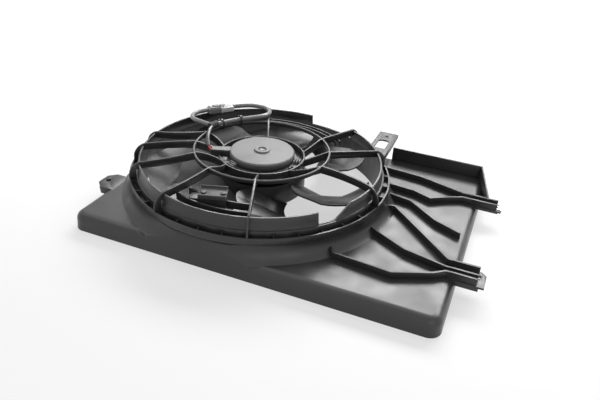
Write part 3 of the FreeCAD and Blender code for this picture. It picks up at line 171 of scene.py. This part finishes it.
slotFinish = {
    "shroud_plastic": "shroud", "fan_plastic": "fan", "zinc_steel": "zinc", "motor_steel": "caseSteel",
    "cap_steel": "cap", "ground_steel": "zinc", "core_steel": "core", "copper_wire": "copper",
    "copper_segments": "copper", "sintered_bronze": "bronze", "ferrite": "ferrite", "carbon": "ferrite",
    "insulating_board": "board", "cast_aluminium": "aluminium", "dark_connector": "connectorDark",
    "grey_connector": "connectorGrey", "lead_insulation": "redLead", "loom_sleeve": "sleeve",
    "cloth_tape": "tape", "tie_nylon": "tie",
}


def dressNodes():
    for part in frame["record"]["subparts"]:
        piece = nodes[part["node"]]
        material = finish[slotFinish[part["material_slot"]]]
        for slot in piece.material_slots:
            slot.material = material


dressNodes()
print("materials on")


def addPiece(name, shape, body, material, smooth=True):
    bmesh.ops.recalc_face_normals(shape, faces=shape.faces)
    mesh = bpy.data.meshes.new(name)
    for face in shape.faces:
        face.smooth = smooth
    shape.to_mesh(mesh)
    shape.free()
    piece = bpy.data.objects.new(name, mesh)
    bpy.context.collection.objects.link(piece)
    mesh.materials.append(finish[material])
    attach(piece, body)
    return piece


def roundEdges(piece, width, segments=2, angle=0.6):
    bevel = piece.modifiers.new("edges", "BEVEL")
    bevel.width = width
    bevel.segments = segments
    bevel.limit_method = "ANGLE"
    bevel.angle_limit = angle
    bevel.harden_normals = True
    return piece


def aboutFan(radius, angle, height, turn=0.0):
    # a place about the fan's axis: x points outwards, y along the turn, z up
    away = math.radians(angle)
    spot = fanAxis + Vector((math.cos(away) * radius, math.sin(away) * radius, height)) / 1000
    return Matrix.Translation(spot) @ Matrix.Rotation(away + math.radians(turn), 4, "Z")


def inOrder(items):
    # each item once, in the same order on every run, which a set doesn't give
    return list(dict.fromkeys(items))


def edgesOf(verts):
    return inOrder(edge for vert in verts for edge in vert.link_edges)


def block(shape, size, place, bevel=0.0, segments=2):
    made = bmesh.ops.create_cube(shape, size=1.0)["verts"]
    bmesh.ops.scale(shape, vec=Vector(size) / 1000, verts=made)
    if bevel:
        edges = edgesOf(made)
        faces = bmesh.ops.bevel(shape, geom=edges, offset=bevel / 1000, offset_type="OFFSET",
                                segments=segments, profile=0.5, affect="EDGES", material=-1)["faces"]
        made = inOrder([vert for face in faces for vert in face.verts]
                       + [vert for vert in made if vert.is_valid])
    bmesh.ops.transform(shape, matrix=place, verts=made)
    return made


mainPlug = {"angle": 140, "radius": 188, "base": 85.7, "length": 23, "width": 16, "depth": 12, "ribs": 3,
            "ribInset": 3.5, "ribThick": 1.6, "socketLength": 25, "socketWidth": 19, "socketDepth": 10.5,
            "collar": 2.2, "grooves": 5, "grooveStart": -7, "groovePitch": 3.2, "grooveShare": 0.62}


def makeMainPlug():
    size = mainPlug
    spot = aboutFan(size["radius"], size["angle"], size["base"])
    shape = bmesh.new()
    middle = size["length"] / 2
    block(shape, (size["width"], size["length"], size["depth"] - 2),
          spot @ Matrix.Translation((0, middle / 1000, (size["depth"] / 2 - 1) / 1000)), 1.2, 3)
    for i in range(size["ribs"]):
        along = (size["ribInset"] + i * (size["length"] - 2 * size["ribInset"]) / (size["ribs"] - 1)) / 1000
        block(shape, (size["width"] - 0.6, size["ribThick"], size["depth"] - 0.4),
              spot @ Matrix.Translation((0, along, size["depth"] / 2000)), 0.5)
    block(shape, (5, size["length"] * 0.6, 2),
          spot @ Matrix.Translation((-0.0045, middle / 1000, 0.0107)), 0.5)
    piece = addPiece("mainPlugShell", shape, "shroud", "plugGrey")
    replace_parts(roundEdges(piece, 0.0002), "main_plug")

    shape = bmesh.new()
    middle = -size["socketLength"] / 2
    block(shape, (size["socketWidth"] - 1.5, size["socketLength"], size["socketDepth"] - 1),
          spot @ Matrix.Translation((0, middle / 1000, (size["socketDepth"] - 1) / 2000)), 1.4, 3)
    block(shape, (size["socketWidth"], size["collar"], size["socketDepth"]),
          spot @ Matrix.Translation((0, -0.0015, size["socketDepth"] / 2000)), 0.6)
    for i in range(size["grooves"]):
        along = (size["grooveStart"] - i * size["groovePitch"]) / 1000
        block(shape, (size["socketWidth"] * size["grooveShare"], 1.3, 1.4),
              spot @ Matrix.Translation((0, along, (size["socketDepth"] - 0.9) / 1000)), 0.4)
    piece = addPiece("mainSocketShell", shape, "shroud", "connectorGrey")
    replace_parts(roundEdges(piece, 0.0002), "main_socket")


makeMainPlug()

wrap = {"angle": 165, "radius": 109, "height": 102, "thick": 6, "length": 18, "turns": 6,
        "endShare": 0.7, "waver": 0.03}


def makeWrap():
    # bands of tape, each overlapping the next, so the outline goes in and out
    shape = bmesh.new()
    step = wrap["length"] / wrap["turns"] / 1000
    ring = bmesh.ops.create_circle(shape, cap_ends=True, segments=28,
                                   radius=wrap["thick"] * wrap["endShare"] / 1000)["verts"]
    spot = aboutFan(wrap["radius"], wrap["angle"], wrap["height"])
    lay = spot @ Matrix.Translation((0, -wrap["length"] / 2000, 0)) @ Matrix.Rotation(-math.pi / 2, 4, "X")
    edges = edgesOf(ring)
    along = 0.0
    for i in range(wrap["turns"]):
        for advance, factor in ((0.0006, 0.92), (step * 0.5, 1.0), (step * 0.5 - 0.0006, 0.94)):
            grown = bmesh.ops.extrude_edge_only(shape, edges=edges)["geom"]
            ring = [item for item in grown if isinstance(item, bmesh.types.BMVert)]
            edges = [item for item in grown if isinstance(item, bmesh.types.BMEdge)]
            along += advance
            wanted = wrap["thick"] * factor / 1000
            for vert in ring:
                flat = Vector((vert.co.x, vert.co.y))
                uneven = 1 + wrap["waver"] * math.sin(3 * math.atan2(flat.y, flat.x) + i)
                flat = flat.normalized() * wanted * uneven
                vert.co = (flat.x, flat.y, along)
    grown = bmesh.ops.extrude_edge_only(shape, edges=edges)["geom"]
    ring = [item for item in grown if isinstance(item, bmesh.types.BMVert)]
    bmesh.ops.scale(shape, vec=(wrap["endShare"], wrap["endShare"], 1), verts=ring)
    bmesh.ops.contextual_create(shape, geom=ring)
    bmesh.ops.transform(shape, matrix=lay, verts=shape.verts)
    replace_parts(addPiece("tapeWrap", shape, "shroud", "tape"), "loom_wrap")


makeWrap()

ties = {"angles": (155, 135.5), "radius": 109, "low": 89.2, "high": 106.2, "halfWidth": 5.2, "wide": 3.6,
        "thick": 1.1, "head": (3.6, 5.4, 4.4), "tail": (1.9, 3.0, 1.0), "tailTilt": 0.5, "squareness": 0.75}


def makeTies():
    shape = bmesh.new()
    middle, tall = (ties["low"] + ties["high"]) / 2, (ties["high"] - ties["low"]) / 2
    for angle in ties["angles"]:
        spot = aboutFan(ties["radius"], angle, middle)
        ring = bmesh.ops.create_circle(shape, segments=28, radius=1.0)["verts"]
        bmesh.ops.rotate(shape, verts=ring, matrix=Matrix.Rotation(math.pi / 2, 3, "X"), cent=(0, 0, 0))
        for vert in ring:
            # squarer than an ellipse, as a band pulled round two rods is
            x, z = vert.co.x, vert.co.z
            vert.co.x = math.copysign(abs(x) ** ties["squareness"], x) * (ties["halfWidth"] / 1000)
            vert.co.z = math.copysign(abs(z) ** ties["squareness"], z) * (tall / 1000)
            vert.co.y = -ties["wide"] / 2000
        edges = edgesOf(ring)
        grown = bmesh.ops.extrude_edge_only(shape, edges=edges)["geom"]
        far = [item for item in grown if isinstance(item, bmesh.types.BMVert)]
        bmesh.ops.translate(shape, vec=(0, ties["wide"] / 1000, 0), verts=far)
        band = [item for item in grown if isinstance(item, bmesh.types.BMFace)]
        bmesh.ops.recalc_face_normals(shape, faces=band)
        solid = bmesh.ops.solidify(shape, geom=band, thickness=-ties["thick"] / 1000)["geom"]
        every = [vert for item in solid + band if isinstance(item, bmesh.types.BMFace) for vert in item.verts]
        bmesh.ops.transform(shape, matrix=spot, verts=inOrder(every + ring + far))
        head = spot @ Matrix.Translation(((ties["halfWidth"] + 1.8) / 1000, 0, (tall - 4) / 1000))
        block(shape, ties["head"], head, 0.6)
        tail = head @ Matrix.Translation((0.0022, 0, 0.0004)) @ Matrix.Rotation(ties["tailTilt"], 4, "Y")
        block(shape, ties["tail"], tail, 0.2)
    bmesh.ops.remove_doubles(shape, verts=shape.verts, dist=1e-6)
    piece = addPiece("nylonTies", shape, "shroud", "tie")
    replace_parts(roundEdges(piece, 0.0002), "cable_ties")


makeTies()

# thicknesses, spread and heights in millimetres, the lengths of the cords in metres
wiring = {"loomThick": 8.0, "sleeveThick": 5.8, "leadThick": 3.0, "spread": 2.2, "loomLength": 0.2230,
          "supplyLength": 0.1180, "sleeveLength": 0.0600, "plugMiddle": 91.7, "overWire": 100.05}


def routedLine(name, points, thick, material):
    curve = bpy.data.curves.new(name, "CURVE")
    curve.dimensions = "3D"
    curve.bevel_depth = thick / 2000
    curve.bevel_resolution = 6
    curve.resolution_u = 16
    curve.use_fill_caps = True
    spline = curve.splines.new("NURBS")
    spline.points.add(len(points) - 1)
    for point, spot in zip(spline.points, points):
        point.co = (*spot, 1)
    spline.order_u = 3
    spline.use_endpoint_u = True
    piece = bpy.data.objects.new(name, curve)
    bpy.context.collection.objects.link(piece)
    curve.materials.append(finish[material])
    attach(piece, "shroud")
    return piece


def besideLoom(along, aside=0.0, height=0.0):
    # a place seen from the plug's joint with its socket: along the pair, away from the fan, up
    spot = aboutFan(mainPlug["radius"], mainPlug["angle"], wiring["plugMiddle"])
    return spot @ Vector((aside / 1000, along / 1000, height / 1000))


def overFan(radius, angle, height):
    return aboutFan(radius, angle, height).to_translation()


def makeLooms():
    # the loom goes from its socket out over the tunnel, round to the wire ring and into the tape
    middle, high = wiring["plugMiddle"], wiring["overWire"]
    inTape = aboutFan(wrap["radius"], wrap["angle"], wrap["height"])
    route = [besideLoom(-mainPlug["socketLength"]), besideLoom(-mainPlug["socketLength"] - 15),
             overFan(189.5, 119.5, middle + 1), overFan(172.4, 112.4, middle + 3),
             overFan(144.2, 109.2, middle + 5.5), overFan(117.6, 114.7, high + 0.6),
             overFan(110.5, 129.7, high + 0.4), overFan(109.3, 142, high + 0.3),
             inTape @ Vector((0, -0.0036, 0))]
    loom = routedLine("mainLoom", route, wiring["loomThick"], "sleeve")
    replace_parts(loom, "main_loom")

    # the supply lead comes back from the plug to the same tape
    route = [besideLoom(mainPlug["length"]), besideLoom(mainPlug["length"] + 16),
             overFan(186, 157.5, middle + 1), overFan(167, 163, middle + 3), overFan(139, 166, high),
             overFan(113, 167, high + 2)]
    supply = routedLine("supplyLead", route, wiring["loomThick"], "sleeve")
    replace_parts(supply, "supply_lead")


def makeLeads():
    # two red leads leave the terminal housing and soon go into one sleeve
    route = [overFan(108, 166, 102), overFan(104, 172, 102.5), overFan(98, 180, 101), overFan(93, -170, 98),
             overFan(88, -162, 91)]
    sleeve = routedLine("leadSleeveTube", route, wiring["sleeveThick"], "leadSleeve")
    made = [sleeve]
    for i, side in enumerate((-1, 1)):
        ends = [aboutFan(80, -157, 85) @ Vector((0, side * wiring["spread"] / 1000, 0)),
                aboutFan(85, -159, 87.5) @ Vector((0, side * wiring["spread"] * 0.8 / 1000, 0)),
                aboutFan(89.5, -163.5, 93) @ Vector((0, side * 0.0008, 0))]
        made.append(routedLine(f"redLead{i}", ends, wiring["leadThick"], "redLead"))
    for piece in made:
        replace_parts(piece, "motor_leads")


makeLooms()
makeLeads()
print("wiring laid")

slotOf = {part["node"]: part["material_slot"] for part in frame["record"]["subparts"]}
movingNodes = frame["record"]["behaviour"]["bodies"]["fan"]

# moulded and pressed pieces whose edges catch the light, with the radius of each edge in millimetres
edgeRounding = {
    "stator_arms": 0.8, "wire_ring": 0.9, "motor_mount_ring": 0.6, "fan_tunnel_ring": 0.6, "plate_ribs": 0.7,
    "rear_wall": 0.6, "rear_bracket": 0.5, "left_mounting_tab": 0.6, "front_right_tab": 0.6,
    "rear_right_tab": 0.6, "module_cradle": 0.6, "far_cradle_ribs": 0.5, "module_heat_plate": 0.4,
    "module_housing": 0.8, "module_plug": 0.6, "module_screws": 0.4, "motor_screws": 0.5, "motor_case": 0.5,
    "motor_end_cap": 0.7, "motor_terminal_housing": 0.9, "connector_holder": 0.3, "tab_clip_nut": 0.25,
    "fan_nut": 0.5, "fan_washer": 0.2, "fan_hub": 0.6, "plug_latch": 0.4,
}


# nodes that look different from the rest of their slot
specialFinish = {
    "rear_bracket": "darkSteel", "module_screws": "darkScrew", "motor_screws": "darkScrew",
    "plug_latch": "plugGrey",
}


def softenNode(node, radius):
    shape = bmesh.new()
    shape.from_mesh(nodes[node].data)
    bmesh.ops.remove_doubles(shape, verts=shape.verts, dist=1e-6)
    bmesh.ops.dissolve_limit(shape, angle_limit=0.01, verts=shape.verts, edges=shape.edges)
    body = "fan" if node in movingNodes else "shroud"
    material = specialFinish.get(node, slotFinish[slotOf[node]])
    piece = addPiece(node + "_soft", shape, body, material)
    roundEdges(piece, radius / 1000)
    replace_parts(piece, node)


for node, radius in edgeRounding.items():
    softenNode(node, radius)
print("edges rounded")


lugFins = {"angles": (-117, 3, 123), "radii": (56.6, 60.4, 64.2, 68), "long": 15, "thick": 1.5, "low": 72.4,
           "high": 86.6}


def makeLugFins():
    # four short upright ribs, one behind the other, beside each of the motor's lugs
    shape = bmesh.new()
    tall = lugFins["high"] - lugFins["low"]
    for angle in lugFins["angles"]:
        for i, radius in enumerate(lugFins["radii"]):
            spot = aboutFan(radius, angle + i * 1.5, lugFins["low"] + tall / 2 - i * 0.6)
            block(shape, (lugFins["thick"], lugFins["long"] - i, tall), spot, 0.4)
    addPiece("motorLugFins", shape, "shroud", "cap")


makeLugFins()

# painted shade: a dark band in place of the shadow in the gap under the cap's rim
capShadeBand = {"capRadius": 52.5, "thick": 0.7, "low": 77.5, "high": 88.2}


def makeCapShadeBand():
    # painted shade: a dark band round the cap's side under its rim, standing in for the shaded gap between cap and
    # case
    shape = bmesh.new()
    ring = bmesh.ops.create_circle(shape, segments=96, radius=capShadeBand["capRadius"] / 1000)["verts"]
    edges = edgesOf(ring)
    grown = bmesh.ops.extrude_edge_only(shape, edges=edges)["geom"]
    upper = [item for item in grown if isinstance(item, bmesh.types.BMVert)]
    bmesh.ops.translate(shape, vec=(0, 0, (capShadeBand["high"] - capShadeBand["low"]) / 1000), verts=upper)
    bmesh.ops.recalc_face_normals(shape, faces=shape.faces)
    bmesh.ops.solidify(shape, geom=shape.faces[:], thickness=-capShadeBand["thick"] / 1000)
    bmesh.ops.transform(shape, matrix=aboutFan(0, 0, capShadeBand["low"]), verts=shape.verts)
    addPiece("capShadeBand", shape, "shroud", "tape")


makeCapShadeBand()

capDetail = {"recess": 5.2, "height": 92.3, "thick": 1.4}


def makeCapDetail():
    # the stub of the shaft's housing in the boss's recess
    shape = bmesh.new()
    bmesh.ops.create_cone(shape, cap_ends=True, segments=6, radius1=capDetail["recess"] / 1000,
                          radius2=capDetail["recess"] * 0.92 / 1000, depth=capDetail["thick"] / 1000)
    top = max(shape.faces, key=lambda face: face.calc_center_median().z)
    bmesh.ops.inset_region(shape, faces=[top], thickness=0.0014, depth=0.0)
    bmesh.ops.translate(shape, vec=(0, 0, -0.0006), verts=top.verts)
    bmesh.ops.transform(shape, matrix=aboutFan(0, 0, capDetail["height"]), verts=shape.verts)
    roundEdges(addPiece("capBossPlug", shape, "shroud", "caseSteel"), 0.0003)


makeCapDetail()

nose = {"angle": -157, "start": 51, "end": 81.5, "top": 90.5, "wide": 15, "sheet": 1.2}


def makeNoseCover():
    # the cap's sheet runs on over the terminal housing
    shape = bmesh.new()
    length = nose["end"] - nose["start"]
    spot = aboutFan(nose["start"] + length / 2, nose["angle"], nose["top"] + nose["sheet"] / 2)
    verts = block(shape, (length, nose["wide"], nose["sheet"]), Matrix())
    outer = [vert for vert in verts if vert.co.x > 0]
    bmesh.ops.scale(shape, vec=(1, 0.8, 1), verts=outer)
    bmesh.ops.transform(shape, matrix=spot, verts=shape.verts)
    roundEdges(addPiece("noseCover", shape, "shroud", "cap"), 0.0004)


makeNoseCover()

print("pieces made")

# the floor's glow falls to frontGlow between fadeTo and fadeFrom, in metres along y
studio = {"floorSize": 8, "skyLight": 0.5, "floorGlow": 0.62, "fadeFrom": -0.4, "fadeTo": 0.1,
          "frontGlow": 0.86}

# each lamp's place, what it points at, its size in metres and its power in watts
lamps = {
    "keyLamp": ((-0.9, 0.2, 1.9), (0, 0, 0), (1.6, 1.2), 8),
    "backLamp": ((0.0, 1.73, 1.38), (0.05, 0, 0), (2.8, 0.66), 75),
    "fillLamp": ((1.2, -1.6, 1.2), (0, 0, 0), (1.2, 1.2), 5),
}


def seenByEye(tree, dim, bright):
    path = tree.nodes.new("ShaderNodeLightPath")
    total = None
    for name in ("Is Camera Ray", "Is Glossy Ray", "Is Transmission Ray"):
        if total is None:
            total = path.outputs[name]
        else:
            add = tree.nodes.new("ShaderNodeMath")
            add.operation = "MAXIMUM"
            tree.links.new(total, add.inputs[0])
            tree.links.new(path.outputs[name], add.inputs[1])
            total = add.outputs[0]
    mix = tree.nodes.new("ShaderNodeMix")
    mix.inputs["A"].default_value = dim
    mix.inputs["B"].default_value = bright
    tree.links.new(total, mix.inputs["Factor"])
    return mix.outputs["Result"]


def makeWorld():
    world = bpy.data.worlds.new("studio")
    world.use_nodes = True
    bpy.context.scene.world = world
    tree = world.node_tree
    background = tree.nodes["Background"]
    background.inputs["Color"].default_value = (1, 1, 1, 1)
    tree.links.new(seenByEye(tree, studio["skyLight"], 1.0), background.inputs["Strength"])


def makeFloor():
    mesh = bpy.data.meshes.new("floor")
    shape = bmesh.new()
    bmesh.ops.create_grid(shape, x_segments=1, y_segments=1, size=studio["floorSize"])
    shape.to_mesh(mesh)
    shape.free()
    floor = bpy.data.objects.new("floor", mesh)
    bpy.context.collection.objects.link(floor)
    material = bpy.data.materials.new("floorPaper")
    material.use_nodes = True
    tree = material.node_tree
    shader = tree.nodes["Principled BSDF"]
    shader.inputs["Base Color"].default_value = (0.86, 0.86, 0.87, 1)
    shader.inputs["Roughness"].default_value = 0.6
    glow = tree.nodes.new("ShaderNodeEmission")
    glow.inputs["Color"].default_value = (1, 0.99, 0.995, 1)
    # painted shade: the floor's glow is dimmed towards the front
    where = tree.nodes.new("ShaderNodeTexCoord")
    split = tree.nodes.new("ShaderNodeSeparateXYZ")
    fade = tree.nodes.new("ShaderNodeMapRange")
    fade.inputs["From Min"].default_value = studio["fadeFrom"]
    fade.inputs["From Max"].default_value = studio["fadeTo"]
    fade.inputs["To Min"].default_value = studio["frontGlow"]
    tree.links.new(where.outputs["Object"], split.inputs["Vector"])
    tree.links.new(split.outputs["Y"], fade.inputs["Value"])
    tree.links.new(fade.outputs["Result"], glow.inputs["Strength"])
    mix = tree.nodes.new("ShaderNodeMixShader")
    tree.links.new(seenByEye(tree, 0.0, studio["floorGlow"]), mix.inputs["Fac"])
    tree.links.new(shader.outputs["BSDF"], mix.inputs[1])
    tree.links.new(glow.outputs["Emission"], mix.inputs[2])
    tree.links.new(mix.outputs["Shader"], tree.nodes["Material Output"].inputs["Surface"])
    mesh.materials.append(material)


def addLamp(name, place, aim, size, power):
    lamp = bpy.data.objects.new(name, bpy.data.lights.new(name, "AREA"))
    lamp.data.shape = "RECTANGLE"
    lamp.data.size, lamp.data.size_y = size
    lamp.data.energy = power
    lamp.location = place
    lamp.rotation_euler = (Vector(aim) - Vector(place)).to_track_quat("-Z", "Y").to_euler()
    bpy.context.collection.objects.link(lamp)


bpy.context.scene.view_settings.view_transform = "Standard"
makeWorld()
makeFloor()
for name, lamp in lamps.items():
    addLamp(name, *lamp)
print("studio set")
